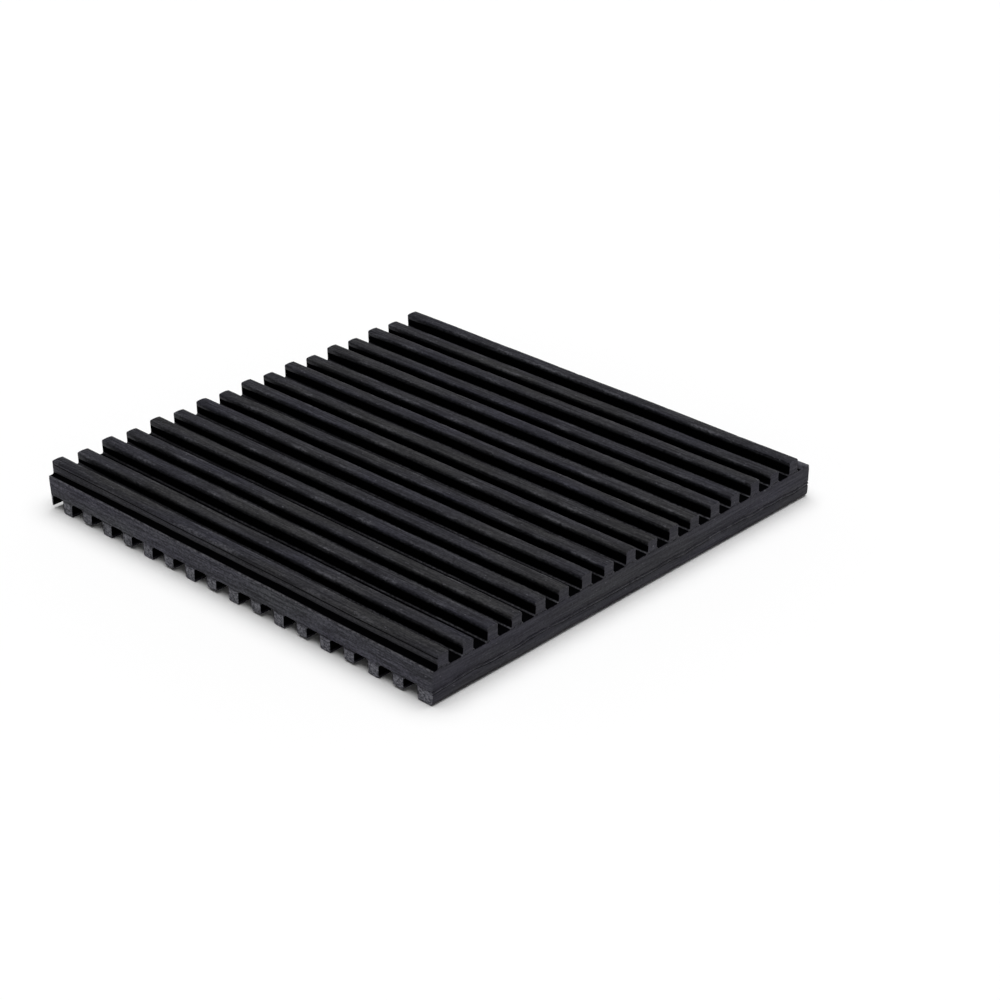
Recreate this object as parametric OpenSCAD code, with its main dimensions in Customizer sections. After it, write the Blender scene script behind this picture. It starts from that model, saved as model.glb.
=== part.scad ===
// Ribbed anti-vibration pad: one moulded block of rubber. A solid web carries parallel ribs on its
// upper face and ribs at right angles to them on its lower face. Tall and short ribs alternate, so
// the tall ones give first and the short ones take over as the load grows.

/* [Pad] */
// Length of the pad along its upper ribs
pad_length = 101.6; // [40:0.1:300]
// Width of the pad across its upper ribs
pad_width = 101.6; // [40:0.1:300]
// Thickness of the solid web between the two ribbed faces
web_t = 4; // [2:0.1:15]

/* [Ribs] */
// Spacing of the ribs, centre to centre, on both faces
rib_pitch = 5.875; // [5:0.025:12]
// Width of a rib's crown between its sharp corners
crown_w = 2.6; // [1.2:0.05:3]
// Height of the tall ribs above the web
tall_h = 2.75; // [2:0.05:6]
// How far the short ribs stop below the tall ones
short_drop = 0.42; // [0.1:0.02:0.8]
// Draft angle of the rib flanks
flank_draft = 1.5; // [0.5:0.5:6]
// Radius of the fillet along each rib's root
root_r = 0.3; // [0.1:0.05:1.1]
// Radius of the long edges of each crown
crown_r = 0.3; // [0.1:0.05:0.6]

/* [Edges] */
// Bare ledge between the front side and the first upper rib's crown
ledge_w = 1.2; // [0.5:0.1:4]
// Width of the lower rib that is flush with the right side, from its inner crown corner
edge_rib_w = 3.5; // [2.5:0.1:6]
// Radius of that rib's outer lower edge
edge_r = 0.9; // [0.3:0.05:1.5]
// Radius of the thin moulding line along the right side, level with the underside of the web
seam_r = 0.12; // [0.05:0.01:0.3]
// Angle by which the left side, parted by a knife, leans in towards the bottom
cut_lean = 4; // [0:0.5:8]

/* [Hidden] */
$fn = 48;
rubber_colour = [0.17, 0.17, 0.18];

short_h = tall_h - short_drop;
pad_h = web_t + 2 * tall_h;
web_bottom = tall_h;
web_top = tall_h + web_t;
// Length from a rounded corner's sharp point to where its arc begins, per unit of radius
corner_reach = tan(45 - flank_draft / 2);
crown_reach = crown_r * corner_reach;
root_reach = root_r * corner_reach;
// Spare stock beyond the pad, so that each section's cut runs right through the other
spare = 2;
// Depth to which a rib's section is rooted in the web
rooting = web_t / 2;

front = -pad_width / 2;
right = pad_length / 2;
upper_first = front + ledge_w + crown_w / 2;
upper_count = 1 + floor((pad_width - ledge_w - crown_w) / rib_pitch);
edge_rib = right - edge_rib_w + crown_w / 2;
lower_count = 1 + floor((pad_length - edge_rib_w + crown_w) / rib_pitch);

// Ribs alternate, tall first, counted from the ledge above and from the flush rib below
function rib_height(i) = i % 2 == 0 ? tall_h : short_h;
function half_base(h) = crown_w / 2 + h * tan(flank_draft);
// Place of the leaning left side at a given height
function cut_x(z) = -right + (pad_h - z) * tan(cut_lean);

// Right half of a rib's outline, from the web up to the crown
function flank_points(h) = [
  [half_base(h) + root_reach, -rooting],
  [half_base(h) + root_reach, 0],
  [half_base(h) - root_reach * sin(flank_draft), root_reach * cos(flank_draft)],
  [crown_w / 2 + crown_reach * sin(flank_draft), h - crown_reach * cos(flank_draft)],
  [crown_w / 2 - crown_reach, h]
];
function mirrored(points) = [for (i = [len(points) - 1:-1:0]) [-points[i].x, points[i].y]];

// Section of one rib that stands on the line y = 0, with drafted flanks, rounded crown and filleted root
module rib_section(h) {
  difference() {
    union() {
      polygon(concat(flank_points(h), mirrored(flank_points(h))));
      for (side = [-1, 1])
        translate([side * (crown_w / 2 - crown_reach), h - crown_r])
          circle(crown_r);
    }
    for (side = [-1, 1])
      translate([side * (half_base(h) + root_reach), root_r])
        circle(root_r);
  }
}

// Lower rib at the right side: its outer flank is flush with that side, with a rounded lower edge
module edge_rib_section() {
  outer = right - edge_rib;
  rib_section(tall_h);
  translate([0, -rooting])
    square([outer - edge_r, rooting + tall_h]);
  translate([0, -rooting])
    square([outer, rooting + tall_h - edge_r]);
  translate([outer - edge_r, tall_h - edge_r])
    circle(edge_r);
}

// Section across the upper ribs: the pad's full width, with the upper ribs on the web
module upper_section() {
  translate([front, -spare])
    square([pad_width, web_top + spare]);
  for (i = [0:upper_count - 1])
    translate([upper_first + i * rib_pitch, web_top])
      rib_section(rib_height(i));
}

// Section across the lower ribs: the pad's full length, with the lower ribs hanging from the web
module lower_section() {
  intersection() {
    union() {
      translate([-right - spare, web_bottom])
        square([pad_length + spare, web_t + tall_h + spare]);
      translate([edge_rib, web_bottom])
        mirror([0, 1])
          edge_rib_section();
      for (i = [1:lower_count - 1])
        translate([edge_rib - i * rib_pitch, web_bottom])
          mirror([0, 1])
            rib_section(rib_height(i));
    }
    polygon([
      [cut_x(-spare), -spare],
      [right, -spare],
      [right, pad_h + spare],
      [cut_x(pad_h + spare), pad_h + spare]
    ]);
  }
  translate([right, web_bottom])
    circle(seam_r);
}

// The pad is what the two crossing sections share
module ribbed_pad() {
  color(rubber_colour)
    intersection() {
      rotate([90, 0, 90])
        linear_extrude(pad_length + 2 * spare, center = true)
          upper_section();
      rotate([90, 0, 0])
        linear_extrude(pad_width + 2 * spare, center = true)
          lower_section();
    }
}

ribbed_pad();
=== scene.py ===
"""Looks of a ribbed rubber anti-vibration pad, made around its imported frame.

The pad is one moulded piece, so the scene holds one piece: a finely meshed skin with the form of the
CAD solid, to which it adds softened cut edges, a ragged moulding line, chipped rib crowns and the
slight unevenness of moulded and cut rubber. Lengths are in millimetres until the mesh is written.
"""

import logging
import math
import random
from dataclasses import dataclass, field, replace
from enum import Enum

import bmesh
import bpy
import numpy as np
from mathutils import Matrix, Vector, noise
from mathutils.geometry import delaunay_2d_cdt


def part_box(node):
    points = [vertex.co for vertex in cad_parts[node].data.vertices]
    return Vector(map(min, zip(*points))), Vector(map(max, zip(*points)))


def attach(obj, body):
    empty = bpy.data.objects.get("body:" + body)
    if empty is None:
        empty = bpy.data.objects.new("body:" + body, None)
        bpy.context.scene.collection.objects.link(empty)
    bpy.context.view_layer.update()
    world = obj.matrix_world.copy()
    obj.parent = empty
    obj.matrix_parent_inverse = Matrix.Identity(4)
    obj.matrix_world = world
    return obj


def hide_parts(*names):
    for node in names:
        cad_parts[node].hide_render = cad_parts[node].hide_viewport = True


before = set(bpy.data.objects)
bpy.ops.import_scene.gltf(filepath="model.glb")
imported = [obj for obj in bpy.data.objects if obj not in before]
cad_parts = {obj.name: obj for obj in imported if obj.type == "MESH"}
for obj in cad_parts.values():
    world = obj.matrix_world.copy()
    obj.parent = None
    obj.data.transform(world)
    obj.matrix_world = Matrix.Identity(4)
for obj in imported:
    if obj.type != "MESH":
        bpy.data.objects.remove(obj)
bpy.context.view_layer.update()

LOG = logging.getLogger("ribbed_pad")
MM = 0.001
NODE = "ribbed_pad"

# Height of the tall ribs and thickness of the web between the two ribbed faces
TALL_H = 2.75
WEB_T = 4.0
# Depth value at which the rubber is painted fully black, as painted shade in the grooves
BLACK = 1.0
# How close to a side a vertex that lies on it is
ON_SIDE = 1e-3
# Triangulation of a flat side: keep what lies inside its edge, and join points closer than this
KEEP_INSIDE = 1
JOIN_WITHIN = 1e-6
# Middle of a noise pattern's values, and the two between which most of them lie
NOISE_MIDDLE = 0.5
NOISE_LOW, NOISE_HIGH = 0.36, 0.64
# Sockets of the Mix node that share a name with others, so they go by number
MIX_FACTOR, MIX_VALUE_A, MIX_VALUE_B, MIX_COLOUR_A, MIX_COLOUR_B = 0, 2, 3, 6, 7
MIX_COLOUR = 2

Tree = bpy.types.NodeTree
Socket = bpy.types.NodeSocket


class Zone(Enum):
    """Kinds of surface on the pad; the value is the material slot's index."""

    UPPER_RIBS = 0
    LOWER_RIBS = 1
    CUT_ALONG_X = 2
    CUT_ALONG_Y = 3
    MOULDED_SIDE = 4
    GROOVES = 5


class Axis(Enum):
    """Horizontal directions; the value is the coordinate's index."""

    X = 0
    Y = 1


class Flaw(Enum):
    """Flaws that vary independently; the value is the level at which the noise is read for each."""

    RAGGEDNESS = 0
    SEAM_WANDER = 1
    ROOT_BREAK = 2
    SCRAPE = 3

    def at(self, along: float, across: float) -> float:
        """Noise of this flaw at a place, about -1 to 1."""
        return noise.noise(Vector((along, across, self.value)))


def linear(hex_colour: str) -> tuple[float, float, float, float]:
    """Turns an sRGB colour, written "#rrggbb", into linear red, green, blue and an alpha of 1."""
    channels = [int(hex_colour[i:i + 2], 16) / 255 for i in (1, 3, 5)]
    return (*(c / 12.92 if c <= 0.04045 else ((c + 0.055) / 1.055) ** 2.4 for c in channels), 1.0)


def per_metre(size_mm: float) -> float:
    """Pattern cells to the metre for a feature of this size."""
    return 1 / (size_mm * MM)


def add_node(tree: Tree, kind: str, inputs: dict[str | int, object] | None = None,
             output: str | int = 0, **settings: object) -> Socket | None:
    """Adds a node to a tree, with its settings and links.

    Args:
        tree: node tree that gets the node.
        kind: Blender's identifier of the node type.
        inputs: socket name or number to a value, or to the output socket that feeds it.
        output: name or number of the output socket that is wanted.
        **settings: properties of the node itself.

    Returns:
        The new node's output socket, or None where it has none.
    """
    node = tree.nodes.new(kind)
    for name, value in settings.items():
        setattr(node, name, value)
    for name, value in (inputs or {}).items():
        if isinstance(value, Socket):
            tree.links.new(value, node.inputs[name])
        else:
            node.inputs[name].default_value = value
    return node.outputs[output] if node.outputs else None


def put_in_scene(name: str, data: bpy.types.ID) -> bpy.types.Object:
    """Makes an object of a mesh, lamp or camera and puts it in the scene.

    Args:
        name: the object's name.
        data: what it is made of.

    Returns:
        The object.
    """
    made = bpy.data.objects.new(name, data)
    bpy.context.scene.collection.objects.link(made)
    return made


def whole_numbers(items: bpy.types.bpy_prop_collection, name: str) -> np.ndarray:
    """Reads a whole number from every item of a mesh.

    Args:
        items: the mesh's polygons or loops.
        name: which of their properties is read.

    Returns:
        The numbers in the items' order.
    """
    values = np.empty(len(items), dtype=np.int32)
    items.foreach_get(name, values)
    return values


@dataclass(frozen=True)
class Grain:
    """A noise pattern: its features' width and length, its finer layers and how strong they are."""

    width_mm: float
    length_mm: float
    layers: float
    weight: float = 0.5


@dataclass(frozen=True)
class RubberFinish:
    """Black vulcanised rubber, as one way of making its surface leaves it.

    Carbon-filled rubber is nearly black with a faint blue cast. Where it is handled it scuffs to a
    matt charcoal with fine streaks and pale specks. Deep in the grooves the colour is painted black as
    shade, and some edges and lines are painted pale as highlights.
    """

    name: str
    along: Axis
    # Neutral and bluish charcoal, near-black for painted shade and for tear and trim lines,
    # caught dust, pale for rubbed edges and painted highlights, and the shine
    body: str
    tint: str
    root: str = "#040405"
    dust: str = "#505055"
    pale: str = "#77777d"
    sheen: str = "#efecff"
    # Slow drift between the two charcoals
    tone: Grain = Grain(width_mm=7.0, length_mm=34.0, layers=3.0)
    # Streaks along the grain, left by release from the mould or by the knife
    streak: Grain = Grain(width_mm=0.34, length_mm=9.0, layers=2.0, weight=0.6)
    streak_contrast: float = 0.5
    streak_height_mm: float = 0.1
    # Pores of the scuffed skin, drawn coarser than the real ones so that they show
    pore: Grain = Grain(width_mm=0.36, length_mm=0.648, layers=1.5, weight=0.6)
    pore_contrast: float = 0.5
    pore_height_mm: float = 0.15
    # Pale specks of mould powder and dust caught in the skin, which are the noise above a level
    speck: Grain = Grain(width_mm=0.34, length_mm=0.748, layers=1.0)
    speck_level: float = 0.712
    speck_edge: float = 0.06
    # Edge of the painted black shade in the grooves, and how far the streaks make it wander
    root_from: float = 0.5
    root_to: float = 0.95
    root_wander: float = 0.3
    # Rubbing: the pore value at which it is whole, and its least share
    rub_to: float = 0.62
    rub_least: float = 0.15
    # Shine, and the streak values between which its roughness swings
    roughness: float = 0.63
    roughness_swing: float = 0.12
    swing_from: float = 0.3
    swing_to: float = 0.7
    root_roughness: float = 0.38
    specular: float = 0.17
    ior: float = 1.52
    # Tear lines, on surface that is rougher than a level; a size of 0 leaves them out
    tear_mm: float = 0.0
    tear_detail: float = 1.0
    tear_swirl: float = 0.6
    tear_width: float = 0.05
    tear_share: float = 0.7
    tear_from: float = 0.5
    # Trimmed line, how far it wanders and how it breaks off; a level of 0 leaves it out
    trim_level_mm: float = 0.0
    trim_mm: float = 0.24
    trim_height_mm: float = 0.1
    trim_wander_mm: float = 0.3
    trim_wave: Grain = Grain(width_mm=1.1, length_mm=1.1, layers=3.0)
    trim_wave_from: float = 0.25
    trim_wave_to: float = 0.75
    trim_gap: Grain = Grain(width_mm=0.7, length_mm=0.7, layers=2.0)

    def pattern(self, tree: Tree, place: Socket, grain: Grain) -> Socket:
        """Adds a noise pattern whose length lies along the finish's own direction.

        Args:
            tree: the material's nodes.
            place: object coordinates.
            grain: the pattern's sizes.

        Returns:
            The pattern's value.
        """
        scale = [per_metre(grain.width_mm)] * 3
        scale[self.along.value] = per_metre(grain.length_mm)
        drawn = add_node(tree, "ShaderNodeMapping", {"Vector": place, "Scale": scale})
        return add_node(tree, "ShaderNodeTexNoise", {
            "Vector": drawn, "Scale": 1.0, "Detail": grain.layers, "Roughness": grain.weight})

    def line(self, tree: Tree, value: Socket, level: Socket | float, width: float,
             share: float) -> Socket:
        """Adds a soft line where a value crosses a level.

        Args:
            tree: the material's nodes.
            value: value that varies over the surface.
            level: level that it crosses.
            width: how far from the level the line ends.
            share: the line's strength in its middle.

        Returns:
            The line's strength.
        """
        off = add_node(tree, "ShaderNodeMath", {0: value, 1: level}, operation="SUBTRACT")
        near = add_node(tree, "ShaderNodeMath", {0: off}, operation="ABSOLUTE")
        return add_node(tree, "ShaderNodeMapRange", {
            "Value": near, "From Min": 0.0, "From Max": width, "To Min": share, "To Max": 0.0})

    def tears(self, tree: Tree, place: Socket, scuff: Socket) -> Socket:
        """Adds the winding dark lines of rubber that tore before the knife had parted it.

        Args:
            tree: the material's nodes.
            place: object coordinates.
            scuff: how rough the surface is; only the roughest is torn.

        Returns:
            The lines' strength.
        """
        swirl = add_node(tree, "ShaderNodeTexNoise", {
            "Vector": place, "Scale": per_metre(self.tear_mm), "Detail": self.tear_detail,
            "Distortion": self.tear_swirl})
        line = self.line(tree, swirl, NOISE_MIDDLE, self.tear_width, self.tear_share)
        rough = add_node(tree, "ShaderNodeMapRange", {
            "Value": scuff, "From Min": self.tear_from, "From Max": 1.0})
        return add_node(tree, "ShaderNodeMath", {0: line, 1: rough}, operation="MULTIPLY")

    def trimming(self, tree: Tree, place: Socket) -> Socket:
        """Adds the ragged line that trimming leaves where the rib ends meet the web.

        Args:
            tree: the material's nodes.
            place: object coordinates.

        Returns:
            The line's strength.
        """
        height = add_node(tree, "ShaderNodeSeparateXYZ", {"Vector": place}, "Z")
        wave = self.pattern(tree, place, self.trim_wave)
        level = add_node(tree, "ShaderNodeMapRange", {
            "Value": wave, "From Min": self.trim_wave_from, "From Max": self.trim_wave_to,
            "To Min": (self.trim_level_mm - self.trim_wander_mm) * MM,
            "To Max": (self.trim_level_mm + self.trim_wander_mm) * MM})
        line = self.line(tree, height, level, self.trim_mm * MM, 1.0)
        gaps = self.pattern(tree, place, self.trim_gap)
        broken = add_node(tree, "ShaderNodeMapRange", {
            "Value": gaps, "From Min": NOISE_LOW, "From Max": NOISE_MIDDLE})
        return add_node(tree, "ShaderNodeMath", {0: line, 1: broken}, operation="MULTIPLY")

    def charcoal(self, tree: Tree, place: Socket, streak: Socket, pores: Socket) -> Socket:
        """Adds the rubber's own colour, before anything lies on it.

        Args:
            tree: the material's nodes.
            place: object coordinates.
            streak: the streaks' value.
            pores: the pores' value.

        Returns:
            The colour.
        """
        # Slow drift between a neutral and a bluish charcoal, as the compound and its bloom vary
        tone = self.pattern(tree, place, self.tone)
        drift = add_node(tree, "ShaderNodeMapRange", {
            "Value": tone, "From Min": NOISE_LOW, "From Max": NOISE_HIGH})
        colour = add_node(tree, "ShaderNodeMix", {
            MIX_FACTOR: drift, MIX_COLOUR_A: linear(self.body), MIX_COLOUR_B: linear(self.tint)},
            MIX_COLOUR, data_type="RGBA")
        for pattern, contrast in ((streak, self.streak_contrast), (pores, self.pore_contrast)):
            value = add_node(tree, "ShaderNodeMapRange", {
                "Value": pattern, "From Min": NOISE_LOW, "From Max": NOISE_HIGH,
                "To Min": 1 - contrast, "To Max": 1 + contrast})
            colour = add_node(tree, "ShaderNodeHueSaturation", {"Value": value, "Color": colour})
        return colour

    def material(self) -> bpy.types.Material:
        """Builds the procedural material.

        Returns:
            The material, ready for a slot.
        """
        made = bpy.data.materials.new(self.name)
        made.use_nodes = True
        tree = made.node_tree
        tree.nodes.clear()
        place = add_node(tree, "ShaderNodeTexCoord", output="Object")
        # Attributes: how scuffed the skin is, how far it is painted black as shade, and how far it is
        # paled by wear and by painted highlights
        scuff, depth, wear = (add_node(tree, "ShaderNodeAttribute", output="Fac", attribute_name=name)
                              for name in ("scuff", "depth", "wear"))
        streak, pores, powder = (self.pattern(tree, place, grain)
                                 for grain in (self.streak, self.pore, self.speck))
        colour = self.charcoal(tree, place, streak, pores)

        specks = add_node(tree, "ShaderNodeMapRange", {
            "Value": powder, "From Min": self.speck_level,
            "From Max": self.speck_level + self.speck_edge})
        # Painted shade: the grooves and lower flanks painted black, with an edge that wanders a little
        # along the rib
        edge = add_node(tree, "ShaderNodeMath", {0: streak, 1: self.root_wander, 2: depth},
                        operation="MULTIPLY_ADD")
        root = add_node(tree, "ShaderNodeMapRange", {
            "Value": edge, "From Min": self.root_from, "From Max": self.root_to},
            interpolation_type="SMOOTHSTEP")
        # Edges that handling has rubbed pale, and painted highlights along the roots, the seam's crest
        # and the flank bands, more in some places than in others
        patchy = add_node(tree, "ShaderNodeMapRange", {
            "Value": pores, "From Min": NOISE_LOW, "From Max": self.rub_to,
            "To Min": self.rub_least})
        paled_by_wear_and_highlight = add_node(tree, "ShaderNodeMath", {0: wear, 1: patchy}, operation="MULTIPLY")
        layers = [(specks, self.dust), (root, self.root), (paled_by_wear_and_highlight, self.pale)]

        streaked = add_node(tree, "ShaderNodeBump", {
            "Height": streak, "Strength": 1.0, "Distance": self.streak_height_mm * MM})
        bump = add_node(tree, "ShaderNodeBump", {
            "Height": pores, "Strength": scuff, "Distance": self.pore_height_mm * MM,
            "Normal": streaked})
        if self.tear_mm:
            layers.append((self.tears(tree, place, scuff), self.root))
        if self.trim_level_mm:
            trimmed = self.trimming(tree, place)
            layers.append((trimmed, self.root))
            bump = add_node(tree, "ShaderNodeBump", {
                "Height": trimmed, "Strength": 1.0, "Distance": self.trim_height_mm * MM,
                "Normal": bump}, invert=True)
        for share, over in layers:
            colour = add_node(tree, "ShaderNodeMix", {
                MIX_FACTOR: share, MIX_COLOUR_A: colour, MIX_COLOUR_B: linear(over)},
                MIX_COLOUR, data_type="RGBA")

        matt = add_node(tree, "ShaderNodeMapRange", {
            "Value": streak, "From Min": self.swing_from, "From Max": self.swing_to,
            "To Min": self.roughness + self.roughness_swing,
            "To Max": self.roughness - self.roughness_swing})
        roughness = add_node(tree, "ShaderNodeMix", {
            MIX_FACTOR: root, MIX_VALUE_A: matt, MIX_VALUE_B: self.root_roughness})
        shader = add_node(tree, "ShaderNodeBsdfPrincipled", {
            "Base Color": colour, "Roughness": roughness, "Normal": bump,
            "Specular IOR Level": self.specular, "Specular Tint": linear(self.sheen), "IOR": self.ior})
        add_node(tree, "ShaderNodeOutputMaterial", {"Surface": shader})
        return made


# Skin that left the mould, scuffed on the crowns: charcoal with streaks along the ribs
MOULDED_UPPER = RubberFinish("moulded_rubber_upper_ribs", Axis.X, "#222222", "#1f1f26")
MOULDED_LOWER = replace(MOULDED_UPPER, name="moulded_rubber_lower_ribs", along=Axis.Y)
# Rubber parted by a knife: a shade bluer, scored along the cut, with a ragged line beside the ribs
CUT_LEFT = RubberFinish(
    "knife_cut_rubber_left", Axis.Y, "#313235", "#302f38",
    streak=replace(MOULDED_UPPER.streak, length_mm=6.0), streak_height_mm=0.05, streak_contrast=0.45,
    pore_contrast=0.45, pore_height_mm=0.12, trim_level_mm=TALL_H + WEB_T)
# The same, torn rough on the rib ends
CUT_FRONT = replace(
    CUT_LEFT, name="knife_cut_rubber_front", along=Axis.X, tear_mm=1.0, trim_level_mm=TALL_H)
# Side that formed against the mould wall: smoother and more even than the cut sides
MOULDED_EDGE = RubberFinish(
    "moulded_rubber_side", Axis.Y, "#2b2b2e", "#292831", streak_height_mm=0.03, streak_contrast=0.2,
    pore_contrast=0.2, speck_level=0.73, roughness=0.62, trim_level_mm=TALL_H + WEB_T)
# Grooves: near-black colour as painted shade, with no shine at all
GROOVE = RubberFinish(
    "painted_shade_rubber_grooves", Axis.X, "#060607", "#050507", streak_contrast=0.3, speck_level=0.8,
    specular=0.0)
FINISH = {
    Zone.UPPER_RIBS: MOULDED_UPPER,
    Zone.LOWER_RIBS: MOULDED_LOWER,
    Zone.CUT_ALONG_X: CUT_FRONT,
    Zone.CUT_ALONG_Y: CUT_LEFT,
    Zone.MOULDED_SIDE: MOULDED_EDGE,
    Zone.GROOVES: GROOVE,
}


@dataclass(frozen=True)
class OutlinePoint:
    """A point of a ribbed outline: its place across the ribs, its height over the web and its look."""

    across: float
    height: float
    # How far the point is painted black as shade; BLACK is fully black
    depth: float = 0.0
    scuff: float = 0.0
    rim: float = 0.0
    # How far it is paled, by wear and by painted highlights on the roots and the flank bands
    wear: float = 0.0
    slide: float = 0.0

    def moved(self, across: float) -> "OutlinePoint":
        """The same point at another place across the ribs."""
        return replace(self, across=across)


# Look of a vertex on a side, which no outline gives
PLAIN = OutlinePoint(0.0, 0.0)


@dataclass(frozen=True)
class FlankBand:
    """Painted light on a rib's flank: a scuffed band under the crown's edge, coloured as lit, with
    the flank below it painted black as shade.

    It is painted as lit down to a depth of its own, where painted shade darkens it by the shade, then
    fades to painted black, and slides further down at the rib's ends. A dark line may run along it,
    between two depths under the crown's edge. The root is the share of a painted highlight along the
    rib's root.
    """

    lit: float
    shade: float = 0.0
    slide: float = 0.0
    # Paling of the band, painted as light on the flank
    wear: float = 0.0
    fade: float = 0.3
    line: tuple[float, float] | None = None
    line_edge: float = 0.06
    root: float = 1.0


@dataclass
class RibShape:
    """Section of the alternating tall and short ribs."""

    pitch: float = 5.875
    crown_w: float = 2.6
    tall_h: float = TALL_H
    short_drop: float = 0.42
    draft: float = math.radians(1.5)
    root_r: float = 0.3
    crown_r: float = 0.3
    crown_dome: float = 0.07
    # Steps of the root's and the crown's arcs, and shares of the half crown where its dome has points
    root_steps: int = 4
    crown_steps: int = 3
    dome_shares: tuple[float, ...] = (0.5, 0.0)
    # Painted highlight along the root, and the height in root radii that a sliding painted light band
    # stays above
    root_highlight: float = 0.55
    root_highlight_power: int = 3
    slide_stop: float = 1.2

    def height(self, i: int) -> float:
        """Height of rib i; even ones are tall."""
        return self.tall_h - (self.short_drop if i % 2 else 0)

    def reach(self, radius: float) -> float:
        """Distance from a rounded corner's sharp point to where its arc meets either line."""
        return radius * math.tan(math.pi / 4 - self.draft / 2)

    def flank(self, low: OutlinePoint, high: OutlinePoint, scuff: float,
              band: FlankBand) -> list[OutlinePoint]:
        """Points of a flank at which its look changes.

        Args:
            low: top of the root's arc.
            high: lower end of the crown's arc.
            scuff: how worn the crown is, 0 to 1.
            band: painted light band of the flank.

        Returns:
            Points from the root up.
        """
        edge = high.height - band.lit
        slide = min(band.slide, edge - band.fade - self.slide_stop * self.root_r)
        made = []
        for level, depth in ((edge - band.fade, BLACK), (edge, band.shade)):
            share = (level - low.height) / (high.height - low.height)
            made.append(OutlinePoint(
                low.across + share * (high.across - low.across), level, depth,
                scuff=scuff * (1 - depth), wear=band.wear * (1 - depth), slide=slide))
        if band.line:
            start, end = band.line
            steps = ((end + band.line_edge, band.shade), (end, BLACK),
                     (start, BLACK), (start - band.line_edge, 0.0))
            made += [OutlinePoint(high.across, high.height - down, depth, scuff=scuff)
                     for down, depth in steps]
        return made

    def half(self, height: float, scuff: float, band: FlankBand) -> list[OutlinePoint]:
        """Left half of one rib, from the groove's floor to the middle of the crown.

        Args:
            height: height of the rib over the web.
            scuff: how worn the crown is, 0 to 1.
            band: painted light band of its flank.

        Returns:
            Points in order, placed from the rib's middle.
        """
        foot = -self.crown_w / 2 - height * math.tan(self.draft) - self.reach(self.root_r)
        shoulder = -self.crown_w / 2 + self.reach(self.crown_r)
        top = height - self.crown_dome
        # Root arc: painted black as shade, with a painted highlight line along it
        root = [OutlinePoint(foot + self.root_r * math.sin(t), self.root_r * (1 - math.cos(t)), BLACK,
                             wear=band.root * self.root_highlight * math.sin(2 * t) ** self.root_highlight_power)
                for t in np.linspace(0, math.pi / 2 - self.draft, self.root_steps + 1)]
        arc = [OutlinePoint(shoulder - self.crown_r * math.cos(t),
                            top - self.crown_r * (1 - math.sin(t)), scuff=scuff, rim=1.0)
               for t in np.linspace(self.draft, math.pi / 2, self.crown_steps + 1)]
        dome = [OutlinePoint(shoulder * k, height - self.crown_dome * k ** 2, scuff=scuff)
                for k in self.dome_shares]
        return [*root, *self.flank(root[-1], arc[0], scuff, band), *arc, *dome]

    def whole(self, centre: float, height: float, scuff: float,
              bands: tuple[FlankBand, FlankBand]) -> list[OutlinePoint]:
        """One rib's outline from foot to foot.

        Args:
            centre: place of the rib's middle.
            height: height of the rib over the web.
            scuff: how worn the crown is, 0 to 1.
            bands: painted light bands of the left and the right flank.

        Returns:
            Points from left to right.
        """
        left, right = (self.half(height, scuff, band) for band in bands)
        mirrored = [p.moved(-p.across) for p in reversed(right[:-1])]
        return [p.moved(centre + p.across) for p in left + mirrored]


@dataclass
class PadSkin:
    """Vertices and faces of the pad, gathered patch by patch."""

    spots: list[tuple[float, float, float]] = field(default_factory=list)
    looks: list[OutlinePoint] = field(default_factory=list)
    faces: list[tuple[int, ...]] = field(default_factory=list)
    zones: list[int] = field(default_factory=list)

    def add(self, spot: tuple[float, float, float], look: OutlinePoint = PLAIN) -> int:
        """Adds a vertex.

        Args:
            spot: its place.
            look: outline point that gives its look.

        Returns:
            The vertex's number.
        """
        self.spots.append(tuple(float(c) for c in spot))
        self.looks.append(look)
        return len(self.spots) - 1

    def quads(self, grid: np.ndarray, zones: list[Zone]) -> None:
        """Joins a grid of vertex numbers with four-sided faces.

        Args:
            grid: vertex numbers in rows and columns.
            zones: kind of surface between each column and the next.
        """
        corners = (grid[:-1, :-1], grid[1:, :-1], grid[1:, 1:], grid[:-1, 1:])
        made = np.stack([c.ravel() for c in corners], axis=1)
        self.faces.extend(map(tuple, made.tolist()))
        self.zones.extend([zone.value for zone in zones] * (len(grid) - 1))

    def fill(self, rim: list[int], inside: list[int], axis: Axis, zone: Zone) -> None:
        """Fills a flat side between its edge and the vertices inside it.

        Args:
            rim: vertex numbers round the edge, in order.
            inside: vertex numbers within the edge.
            axis: direction that the side runs along.
            zone: kind of surface.
        """
        numbers = [*rim, *inside]
        flat = [Vector((self.spots[n][axis.value], self.spots[n][2])) for n in numbers]
        edges = [(k, (k + 1) % len(rim)) for k in range(len(rim))]
        _, _, faces, sources, *_ = delaunay_2d_cdt(flat, edges, [], KEEP_INSIDE, JOIN_WITHIN)
        for face in faces:
            self.faces.append(tuple(numbers[sources[corner][0]] for corner in face))
            self.zones.append(zone.value)


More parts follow.
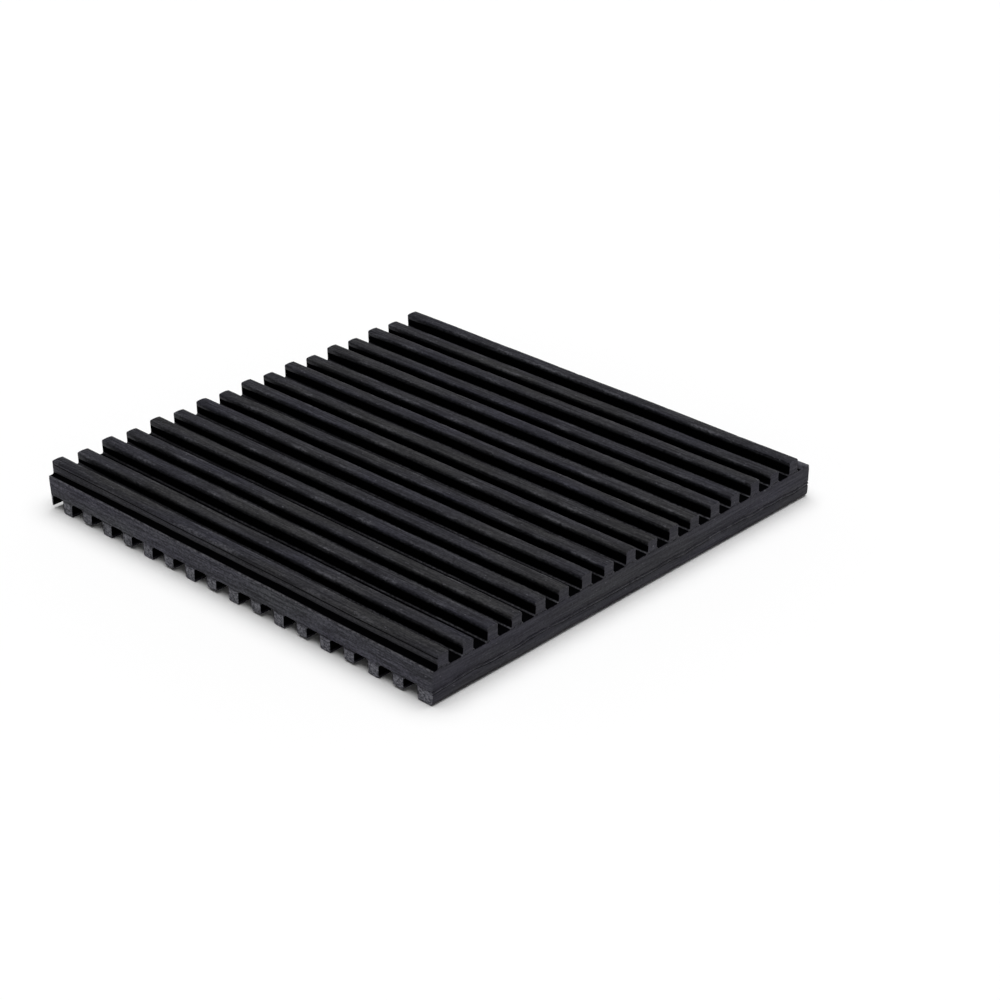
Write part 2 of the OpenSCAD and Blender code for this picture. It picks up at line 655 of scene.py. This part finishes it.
@dataclass
class RibbedPad:
    """The pad: a web with ribs along X on its upper face and ribs along Y on its lower one."""

    ribs: RibShape = field(default_factory=RibShape)
    ledge_w: float = 1.2
    edge_rib_w: float = 3.5
    edge_r: float = 0.9
    # Softened edges of the rib ends and of the web
    soft_r: float = 0.14
    web_edge_r: float = 0.18
    # Left side, which leans in towards the bottom, and how far from it vertices follow
    cut_lean: float = math.radians(4)
    lean_span: float = 3.0
    # Moulding line: rows of vertices and how far they stand out, both in radii of the line
    seam_r: float = 0.12
    seam_offsets: tuple[float, ...] = (0.0, 0.6, 1.1, 2.6, 4.4)
    seam_lifts: tuple[float, ...] = (1.0, 0.8, -0.4, -1.6, 0.0)
    seam_margin: float = 1.0
    # Row of painted shade beside the line, how dark the painted shade is below and above, and how
    # closely the row is matched
    seam_dark_row: int = 3
    seam_dark: tuple[float, float] = (1.0, 0.75)
    seam_row_gap: float = 0.1
    # The line's crest, painted pale as a highlight, in radii; its wander; and its usual height,
    # raggedness and their lengths
    seam_crest: float = 0.6
    seam_highlight: float = 0.4
    seam_wander: float = 0.5
    seam_bends: float = 3.0
    seam_usual: float = 0.7
    seam_ragged: float = 0.9
    seam_ragged_mm: float = 0.9
    seam_drift_mm: float = 5.0
    # Fineness of the mesh
    upper_stations: int = 126
    lower_stations: int = 50
    side_step: float = 0.62
    corner_points: int = 5
    end_points: int = 4
    sharp_angle: float = math.radians(40)
    # Unevenness of the whole pad
    wobble: float = 0.07
    wobble_mm: float = 17.0
    ripple: float = 0.02
    ripple_mm: float = 2.6
    # How scuffed the crowns of the tall and the short ribs are, and the sides above the rib ends
    tall_scuff: tuple[float, float] = (0.45, 1.0)
    short_scuff: tuple[float, float] = (0.0, 0.35)
    side_scuff: float = 0.4
    # Painted light bands on the flanks, painted black as shade below, and how far they slide down at
    # the ribs' left and right ends
    first_band: FlankBand = FlankBand(
        lit=0.95, shade=0.5, slide=1.5, wear=0.2, fade=0.55, line=(0.3, 0.5), root=0.0)
    upper_band: FlankBand = FlankBand(lit=0.2, shade=0.7, slide=0.5, wear=0.4)
    lower_band: FlankBand = FlankBand(lit=0.02)
    end_scuff: tuple[float, float] = (30.0, 14.0)
    end_rise: tuple[float, float] = (1.0, 0.0)
    end_ragged: float = 0.07
    slide_fall: float = 0.16
    slide_least: float = 0.25
    # Pale wear of the web's edges, the rib ends' edges and the lower rib ends
    edge_wear: float = 0.4
    end_wear: float = 0.25
    tooth_wear: float = 0.85
    least_wear: float = 0.01
    # Scraped stretches of crown edge
    scrape: float = 0.26
    scrape_mm: float = 6.0
    scrape_from: float = 0.1
    scrape_to: float = 0.45
    # Painted highlight line along the roots, from the left end to the right one
    root_run: tuple[float, float] = (0.15, 0.9)
    root_break: float = 0.6
    root_break_mm: float = 9.0
    # Chips of the crowns' edges, and torn rubber on the front and back, less of it above the rib ends
    chip: float = 0.22
    chip_mm: float = 1.8
    chip_level: float = 0.35
    torn: float = 0.12
    torn_mm: float = 0.55
    torn_above: float = 0.3
    seed: int = 7
    ribbed_zones: tuple[Zone, ...] = (Zone.UPPER_RIBS, Zone.LOWER_RIBS, Zone.GROOVES)

    def __post_init__(self) -> None:
        """Reads the pad's extents from the frame."""
        self.low, self.high = (np.array(corner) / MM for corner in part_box(NODE))
        self.left, self.front, self.back = self.low[0], self.low[1], self.high[1]
        self.right = -self.left
        self.web_bottom = self.ribs.tall_h
        self.web_top = self.high[2] - self.ribs.tall_h
        self.draw = random.Random(self.seed)
        # Without a seed, the noise vectors would differ from run to run
        noise.seed_set(self.seed)
        self.skin = PadSkin()

    def wear(self, i: int) -> float:
        """How scuffed rib i's crown is: the tall ones meet the floor and the machine first."""
        return self.draw.uniform(*(self.short_scuff if i % 2 else self.tall_scuff))

    def band(self, i: int) -> FlankBand:
        """Painted light band of upper rib i, which slides less at the ends of the ribs further back.
        """
        share = max(self.slide_least, 1 - self.slide_fall * i)
        return replace(self.upper_band, slide=self.upper_band.slide * share)

    def leant(self, x: float, z: float) -> float:
        """Place along X of an upright pad's point once the left side leans in towards the bottom."""
        share = max(0.0, 1 - (x - self.left) / self.lean_span)
        return x + share * (self.high[2] - z) * math.tan(self.cut_lean)

    def corner(self, middle: tuple[float, float], start: float, end: float, radius: float,
               wear: float = 0.0) -> list[OutlinePoint]:
        """Points on a rounded corner of an outline, between two angles round the arc's middle."""
        across, height = middle
        return [OutlinePoint(across + radius * math.cos(t), height + radius * math.sin(t), wear=wear)
                for t in np.linspace(start, end, self.corner_points)]

    def floors(self, outline: list[OutlinePoint]) -> list[OutlinePoint]:
        """Adds a point in the middle of each groove's floor.

        Args:
            outline: points of the ribs in order.

        Returns:
            The outline with the added points.
        """
        made = [outline[0]]
        for before, after in zip(outline, outline[1:]):
            if before.height == after.height == 0:
                made.append(OutlinePoint((before.across + after.across) / 2, 0.0, BLACK))
            made.append(after)
        return made

    def upper_outline(self) -> list[OutlinePoint]:
        """Section of the upper face across its ribs, from the front side to the back.

        Returns:
            Points in order; heights are over the web's top.
        """
        first = self.front + self.ledge_w + self.ribs.crown_w / 2
        count = 1 + int((self.back - first - self.ribs.crown_w / 2) / self.ribs.pitch)
        ribs = [p for i in range(count) for p in self.ribs.whole(
            first + i * self.ribs.pitch, self.ribs.height(i), self.wear(i),
            (self.band(i) if i else self.first_band, self.band(i)))]
        soft = self.web_edge_r
        return [*self.corner((self.front + soft, -soft), math.pi, math.pi / 2, soft, self.edge_wear),
                OutlinePoint(self.front + 2 * soft, 0.0, BLACK),
                *self.floors(ribs),
                OutlinePoint(ribs[-1].across + self.ledge_w / 2, 0.0, BLACK),
                OutlinePoint(ribs[-1].across + self.ledge_w, 0.0),
                *self.corner((self.back - soft, -soft), math.pi / 2, 0, soft, self.edge_wear)]

    def lower_outline(self) -> list[OutlinePoint]:
        """Section of the lower face across its ribs, from the left side to the right.

        Returns:
            Points in order; heights are below the web's bottom.
        """
        last = self.right - self.edge_rib_w + self.ribs.crown_w / 2
        count = 1 + int((last - self.left + self.ribs.crown_w) / self.ribs.pitch)
        points = []
        for i in reversed(range(1, count)):
            points += self.ribs.whole(last - i * self.ribs.pitch, self.ribs.height(i), self.wear(i),
                                      (self.lower_band, self.lower_band))
        tall = self.ribs.half(self.ribs.tall_h, self.wear(0), self.lower_band)
        points += [p.moved(last + p.across) for p in tall]
        points = self.floors(points)
        over = [p.across - self.leant(self.left, self.web_bottom - p.height) for p in points]
        first = next(k for k, gap in enumerate(over) if gap > 0)
        before, after = points[first - 1], points[first]
        share = over[first] / (over[first] - over[first - 1])
        cut = OutlinePoint(after.across + share * (before.across - after.across),
                           after.height + share * (before.height - after.height),
                           after.depth, after.scuff)
        outer = self.corner((self.right - self.edge_r, self.ribs.tall_h - self.edge_r),
                            math.pi / 2, 0, self.edge_r)
        return [cut, *points[first:], *outer]

    def stations(self, start: float, end: float, count: int) -> list[tuple[float, float]]:
        """Places along the ribs, closer together where the cut ends are rounded.

        Args:
            start: first end.
            end: other end.
            count: number of evenly spaced places between the ends.

        Returns:
            Pairs of place and depth by which the section shrinks there.
        """
        soft = self.soft_r
        ends = [(soft * (1 - math.cos(t)), soft * (1 - math.sin(t)))
                for t in np.linspace(0, math.pi / 2, self.end_points)]
        inner = [(float(s), 0.0) for s in np.linspace(start + soft, end - soft, count)[1:-1]]
        return [(start + d, shrink) for d, shrink in ends] + inner + [
            (end - d, shrink) for d, shrink in reversed(ends)]

    def scuffed(self, place: float, across: float, ends: tuple[float, float]) -> float:
        """How much further down the flank the painted light band reaches at a place along a rib.

        Args:
            place: place along the rib.
            across: place of the flank.
            ends: the rib's two ends.

        Returns:
            Share of the slide, about 0 in the middle and up to 1 at the ends.
        """
        reach = [max(0.0, 1 - abs(place - end) / span) * rise
                 for end, span, rise in zip(ends, self.end_scuff, self.end_rise)]
        ragged = self.end_ragged * Flaw.RAGGEDNESS.at(place / self.chip_mm, across)
        return min(1.0, max(reach) + ragged)

    def root_light(self, place: float, across: float) -> float:
        """Share of the painted highlight line along a rib's root: broken, and clearer towards the
        right.

        Args:
            place: place along the rib.
            across: place of the root.

        Returns:
            Share of the full line, 0 to 1.
        """
        start, end = self.root_run
        run = (place - self.left) / (self.right - self.left)
        broken = self.root_break * Flaw.ROOT_BREAK.at(place / self.root_break_mm, across)
        return min(1.0, max(0.0, start + run * (end - start) + broken))

    def scraped(self, place: float, across: float) -> float:
        """How pale a crown's edge was scraped at a place by what was dragged over it."""
        drag = Flaw.SCRAPE.at(place / self.scrape_mm, across)
        return self.scrape * float(np.interp(drag, (self.scrape_from, self.scrape_to), (0, 1)))

    def paled(self, point: OutlinePoint, place: float, shrink: float) -> float:
        """How much an outline point at a place along its rib is paled, by wear and by painted
        highlights.

        Args:
            point: the outline point.
            place: place along the rib.
            shrink: depth by which the section shrinks there.

        Returns:
            Paling by wear and by painted highlights, 0 to 1.
        """
        # Roots painted black as shade get only the painted highlight line
        if point.depth == BLACK:
            return point.wear * self.root_light(place, point.across)
        scraped = self.scraped(place, point.across) if point.rim else 0.0
        return max(point.wear, scraped, self.end_wear * shrink / self.soft_r)

    def ribbed_face(self, outline: list[OutlinePoint], along: Axis, zone: Zone) -> np.ndarray:
        """Builds one ribbed face as a grid of sections.

        Args:
            outline: the face's section.
            along: direction of its ribs.
            zone: kind of surface.

        Returns:
            Vertex numbers, one row per place along the ribs.
        """
        upper = along is Axis.X
        across = np.array([p.across for p in outline])
        height = np.array([p.height for p in outline])
        run, rise = np.gradient(across), np.gradient(height)
        size = np.hypot(run, rise)
        normal = np.stack([-rise / size, run / size], axis=1)
        # The lower rib that the left side cuts to a sliver of half a crown is too thin to be rounded
        if not upper:
            normal *= np.clip((across - self.left) / self.ribs.crown_w - 0.5, 0, 1)[:, None]
        ends = (self.left, self.right) if upper else (self.front, self.back)
        count = self.upper_stations if upper else self.lower_stations
        rows = []
        for place, shrink in self.stations(*ends, count):
            row = []
            for point, (side, up) in zip(outline, normal):
                slid = point.slide * self.scuffed(place, point.across, ends)
                over = point.height - slid - shrink * up
                spot = [0.0, 0.0, self.web_top + over if upper else self.web_bottom - over]
                spot[along.value] = place
                spot[1 - along.value] = point.across - shrink * side
                if upper:
                    spot[0] = self.leant(place, spot[2])
                look = replace(point, wear=self.paled(point, place, shrink))
                row.append(self.skin.add(tuple(spot), look))
            rows.append(row)
        grid = np.array(rows)
        # Faces painted fully black as shade, with no painted highlight, take the groove finish
        black = [p.depth == BLACK and p.wear < self.least_wear for p in outline]
        self.skin.quads(grid, [Zone.GROOVES if a and b else zone for a, b in zip(black, black[1:])])
        return grid

    def seam_levels(self) -> list[float]:
        """Heights of the vertex rows that shape the moulding line."""
        offsets = {side * k for k in self.seam_offsets for side in (-1, 1)}
        return [self.web_bottom + k * self.seam_r for k in sorted(offsets)]

    def off_seam(self, z: float) -> bool:
        """Whether a height is clear of the moulding line."""
        return abs(z - self.web_bottom) > (self.seam_offsets[-1] + self.seam_margin) * self.seam_r

    def corner_line(self, low: int, high: int, x: float, y: float) -> list[int]:
        """Vertices up one of the pad's four upright corners.

        Args:
            low: vertex at its lower end.
            high: vertex at its upper end.
            x: place of the corner.
            y: place of the corner.

        Returns:
            Vertex numbers from low to high, both ends included.
        """
        bottom, top = self.skin.spots[low][2], self.skin.spots[high][2]
        plain = np.arange(bottom + self.side_step, top - self.side_step / 2, self.side_step)
        levels = sorted([*self.seam_levels(), *(z for z in plain if self.off_seam(z))])
        between = [self.skin.add((self.leant(x, z), y, z)) for z in levels if bottom < z < top]
        return [low, *between, high]

    def side_points(self, rim: list[int], axis: Axis, seam: bool) -> list[int]:
        """Vertices spread over a side, so that its surface can be uneven.

        Args:
            rim: vertex numbers round the side.
            axis: direction that the side runs along.
            seam: whether the moulding line runs along it.

        Returns:
            The new vertices' numbers.
        """
        edge = np.array([self.skin.spots[n] for n in rim])
        run, out, rise = edge[:, axis.value], edge[:, 1 - axis.value], edge[:, 2]
        flat = out.min() if out.mean() < 0 else out.max()
        middle = (self.web_bottom + self.web_top) / 2
        upper, lower = rise > middle, rise < middle
        order_high, order_low = np.argsort(run[upper]), np.argsort(run[lower])
        made = []
        step = self.side_step
        clear = step / 3
        levels = list(np.arange(step / 2, self.high[2], step))
        if seam:
            levels = [z for z in levels if self.off_seam(z)] + self.seam_levels()
        for s in np.arange(run.min() + step, run.max() - step / 2, step):
            top = np.interp(s, run[upper][order_high], rise[upper][order_high])
            bottom = np.interp(s, run[lower][order_low], rise[lower][order_low])
            for z in levels:
                if bottom + clear < z < top - clear:
                    x, y = (s, flat) if axis is Axis.X else (flat, s)
                    made.append(self.skin.add((self.leant(x, z), y, z)))
        return made

    def sides(self, upper: np.ndarray, lower: np.ndarray) -> None:
        """Closes the four sides between the two ribbed faces.

        Args:
            upper: vertex grid of the upper face, along X by across Y.
            lower: vertex grid of the lower face, along Y by across X.
        """
        lines = {}
        for a, x in ((0, self.left), (-1, self.right)):
            for b, y in ((0, self.front), (-1, self.back)):
                lines[a, b] = self.corner_line(lower[b, a], upper[a, b], x, y)
        for b in (0, -1):
            rim = [*upper[:, b], *lines[-1, b][-2:0:-1], *lower[b, ::-1], *lines[0, b][1:-1]]
            self.skin.fill(rim, self.side_points(rim, Axis.X, False), Axis.X, Zone.CUT_ALONG_X)
        for a, zone in ((0, Zone.CUT_ALONG_Y), (-1, Zone.MOULDED_SIDE)):
            rim = [*upper[a, :], *lines[a, -1][-2:0:-1], *lower[::-1, a], *lines[a, 0][1:-1]]
            self.skin.fill(rim, self.side_points(rim, Axis.Y, a == -1), Axis.Y, zone)

    def on_seam(self, y: float, z: float) -> tuple[float, float]:
        """Where a vertex of the moulding line lies once the line wanders and is ragged.

        Args:
            y: place along the line.
            z: height of the vertex.

        Returns:
            Its new places along X and Z.
        """
        flash = Flaw.RAGGEDNESS.at(y / self.seam_ragged_mm, y / self.seam_drift_mm)
        ragged = min(1.0, self.seam_usual + self.seam_ragged * flash)
        row = abs(z - self.web_bottom) / self.seam_r
        lift = np.interp(row, self.seam_offsets, self.seam_lifts)
        wander = Flaw.SEAM_WANDER.at(y / self.wobble_mm, y / self.chip_mm / self.seam_bends)
        return self.right + lift * self.seam_r * ragged, z + self.seam_wander * wander

    def roughen(self) -> np.ndarray:
        """Moves the vertices by what moulding, cutting and handling leave.

        Returns:
            The vertices' places, inside the CAD box.
        """
        places = np.array(self.skin.spots)
        moved = places.copy()
        for n, (x, y, z) in enumerate(places):
            spot = Vector((x, y, z))
            moved[n] += np.array(noise.noise_vector(spot / self.wobble_mm)) * self.wobble
            moved[n] += np.array(noise.noise_vector(spot / self.ripple_mm)) * self.ripple
            if self.skin.looks[n].rim:
                bite = max(0.0, noise.noise(spot / self.chip_mm) - self.chip_level) * self.chip
                moved[n][2] -= bite if z > self.web_top else -bite
            if self.front + ON_SIDE > y or y > self.back - ON_SIDE:
                share = 1.0 if z < self.web_bottom else self.torn_above
                tear = abs(noise.noise(spot / self.torn_mm)) * self.torn * share
                moved[n][1] += tear if y < 0 else -tear
            if abs(x - self.right) < ON_SIDE and not self.off_seam(z):
                moved[n][0], moved[n][2] = self.on_seam(y, z)
        return np.clip(moved, self.low, self.high)

    def build(self) -> bpy.types.Object:
        """Builds the pad's skin and dresses it.

        Returns:
            The piece, riding on the part's body in place of the CAD solid.
        """
        upper = self.ribbed_face(self.upper_outline(), Axis.X, Zone.UPPER_RIBS)
        lower = self.ribbed_face(self.lower_outline(), Axis.Y, Zone.LOWER_RIBS)
        self.sides(upper, lower)
        mesh = bpy.data.meshes.new("ribbed_pad_rubber")
        mesh.from_pydata((self.roughen() * MM).tolist(), [], self.skin.faces)
        self.dress(mesh)
        piece = put_in_scene("ribbed_pad_rubber", mesh)
        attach(piece, "root")
        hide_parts(NODE)
        return piece

    def dress(self, mesh: bpy.types.Mesh) -> None:
        """Gives the mesh its finishes, its wear, its painted shade and painted highlights, and smooth
        shading.

        Args:
            mesh: the pad's mesh.
        """
        mesh.polygons.foreach_set("material_index", self.skin.zones)
        for zone in Zone:
            mesh.materials.append(FINISH[zone].material())
        turned = bmesh.new()
        turned.from_mesh(mesh)
        bmesh.ops.recalc_face_normals(turned, faces=turned.faces)
        turned.to_mesh(mesh)
        turned.free()

        corners = whole_numbers(mesh.loops, "vertex_index")
        zones = np.repeat(whole_numbers(mesh.polygons, "material_index"),
                          whole_numbers(mesh.polygons, "loop_total"))
        ribbed = np.isin(zones, [zone.value for zone in self.ribbed_zones])
        moulded = zones == Zone.MOULDED_SIDE.value
        height = np.array(self.skin.spots)[corners, 2]
        on_tooth = (height < self.web_bottom) & (zones == Zone.CUT_ALONG_X.value)
        on_crest = moulded & (np.abs(height - self.web_bottom) < self.seam_crest * self.seam_r)
        row = (height - self.web_bottom) / self.seam_r
        dark_row = self.seam_offsets[self.seam_dark_row]
        in_dark = moulded & (np.abs(np.abs(row) - dark_row) < self.seam_row_gap)
        # Sides: painted shade in the rows beside the moulding line, a painted highlight on its crest
        # and pale wear on the teeth
        sides = {
            "depth": np.where(row < 0, *self.seam_dark) * in_dark,
            "scuff": np.where(on_tooth, 1.0, self.side_scuff),
            "wear": on_crest * self.seam_highlight + on_tooth * self.tooth_wear,
        }
        for name, on_side in sides.items():
            on_ribs = np.array([getattr(look, name) for look in self.skin.looks])[corners]
            layer = mesh.attributes.new(name, "FLOAT", "CORNER")
            layer.data.foreach_set("value", np.where(ribbed, on_ribs, on_side).astype(np.float32))
        mesh.shade_smooth()
        mesh.set_sharp_from_angle(angle=self.sharp_angle)
        mesh.validate()


@dataclass
class Studio:
    """Pale floor, soft light from all round and the camera at the viewing angle of the photograph."""

    # Camera; angles are in degrees, from the front growing to the right and up from the floor
    azimuth: float = 43.24
    elevation: float = 27.96
    distance: float = 451.2
    aim: tuple[float, float, float] = (9.24, 9.38, 0.0)
    lens: float = 85.37
    sensor_w: float = 36.0
    clip_m: tuple[float, float] = (0.01, 100.0)
    floor_radius: float = 12000.0
    floor_segments: int = 96
    floor_colour: str = "#f9f9f9"
    # Wide soft lamp; its spread is the degrees of sky that it covers
    lamp_azimuth: float = 195.0
    lamp_elevation: float = 84.0
    lamp_strength: float = 2.95
    lamp_spread: float = 70.0
    # Sky, and the heights between which it dims from the horizon up
    sky_colour: str = "#ffffff"
    sky_strength: float = 0.08
    horizon_strength: float = 1.0
    backdrop_from: float = 0.05
    backdrop_to: float = 0.42

    def direction(self, azimuth: float, elevation: float) -> Vector:
        """Unit vector towards a place in the sky; azimuth grows from the front to the right."""
        a, e = math.radians(azimuth), math.radians(elevation)
        return Vector((math.sin(a) * math.cos(e), -math.cos(a) * math.cos(e), math.sin(e)))

    def camera(self) -> bpy.types.Object:
        """Makes the scene's camera.

        Returns:
            The camera.
        """
        data = bpy.data.cameras.new("photo_camera")
        data.lens = self.lens
        data.sensor_width = self.sensor_w
        data.clip_start, data.clip_end = self.clip_m
        made = put_in_scene("photo_camera", data)
        back = self.direction(self.azimuth, self.elevation)
        made.location = (Vector(self.aim) + back * self.distance) * MM
        made.rotation_euler = (-back).to_track_quat("-Z", "Y").to_euler()
        bpy.context.scene.camera = made
        return made

    def floor(self) -> bpy.types.Object:
        """Makes the round, pale floor.

        Returns:
            The floor.
        """
        mesh = bpy.data.meshes.new("studio_floor")
        disc = bmesh.new()
        bmesh.ops.create_circle(disc, cap_ends=True, segments=self.floor_segments,
                                radius=self.floor_radius * MM)
        disc.to_mesh(mesh)
        disc.free()
        # Matt white paper: an even pale ground with no shine
        paper = bpy.data.materials.new("matt_white_paper")
        paper.use_nodes = True
        tree = paper.node_tree
        tree.nodes.clear()
        shader = add_node(tree, "ShaderNodeBsdfDiffuse", {"Color": linear(self.floor_colour)})
        add_node(tree, "ShaderNodeOutputMaterial", {"Surface": shader})
        mesh.materials.append(paper)
        made = put_in_scene("studio_floor", mesh)
        return made

    def lamp(self) -> bpy.types.Object:
        """Makes the wide soft lamp overhead.

        Returns:
            The lamp.
        """
        data = bpy.data.lights.new("overhead_softbox", "SUN")
        data.energy = self.lamp_strength
        data.angle = math.radians(self.lamp_spread)
        made = put_in_scene("overhead_softbox", data)
        towards = self.direction(self.lamp_azimuth, self.lamp_elevation)
        made.rotation_euler = towards.to_track_quat("Z", "Y").to_euler()
        return made

    def sky(self) -> None:
        """Makes the dim light from all round, white at the horizon as a backdrop is."""
        world = bpy.data.worlds.new("studio_sky")
        world.use_nodes = True
        tree = world.node_tree
        tree.nodes.clear()
        way = add_node(tree, "ShaderNodeTexCoord", output="Generated")
        up = add_node(tree, "ShaderNodeSeparateXYZ", {"Vector": way}, "Z")
        grade = add_node(tree, "ShaderNodeMapRange", {
            "Value": up, "From Min": self.backdrop_from, "From Max": self.backdrop_to,
            "To Min": self.horizon_strength, "To Max": self.sky_strength},
            interpolation_type="SMOOTHSTEP")
        glow = add_node(tree, "ShaderNodeBackground", {
            "Color": linear(self.sky_colour), "Strength": grade})
        add_node(tree, "ShaderNodeOutputWorld", {"Surface": glow})
        bpy.context.scene.world = world

    def build(self) -> list[bpy.types.Object]:
        """Builds the sky, the floor, the lamp and the camera.

        Returns:
            The objects made.
        """
        bpy.context.scene.view_settings.view_transform = "Standard"
        self.sky()
        return [self.floor(), self.lamp(), self.camera()]


def main() -> None:
    """Builds the studio and the pad."""
    logging.basicConfig(level=logging.INFO, format="%(name)s: %(message)s")
    for made in Studio().build():
        LOG.info("made %s", made.name)
    piece = RibbedPad().build()
    triangles = sum(len(face.vertices) - 2 for face in piece.data.polygons)
    LOG.info("made %s: %d triangles", piece.name, triangles)


if __name__ == "__main__":
    main()
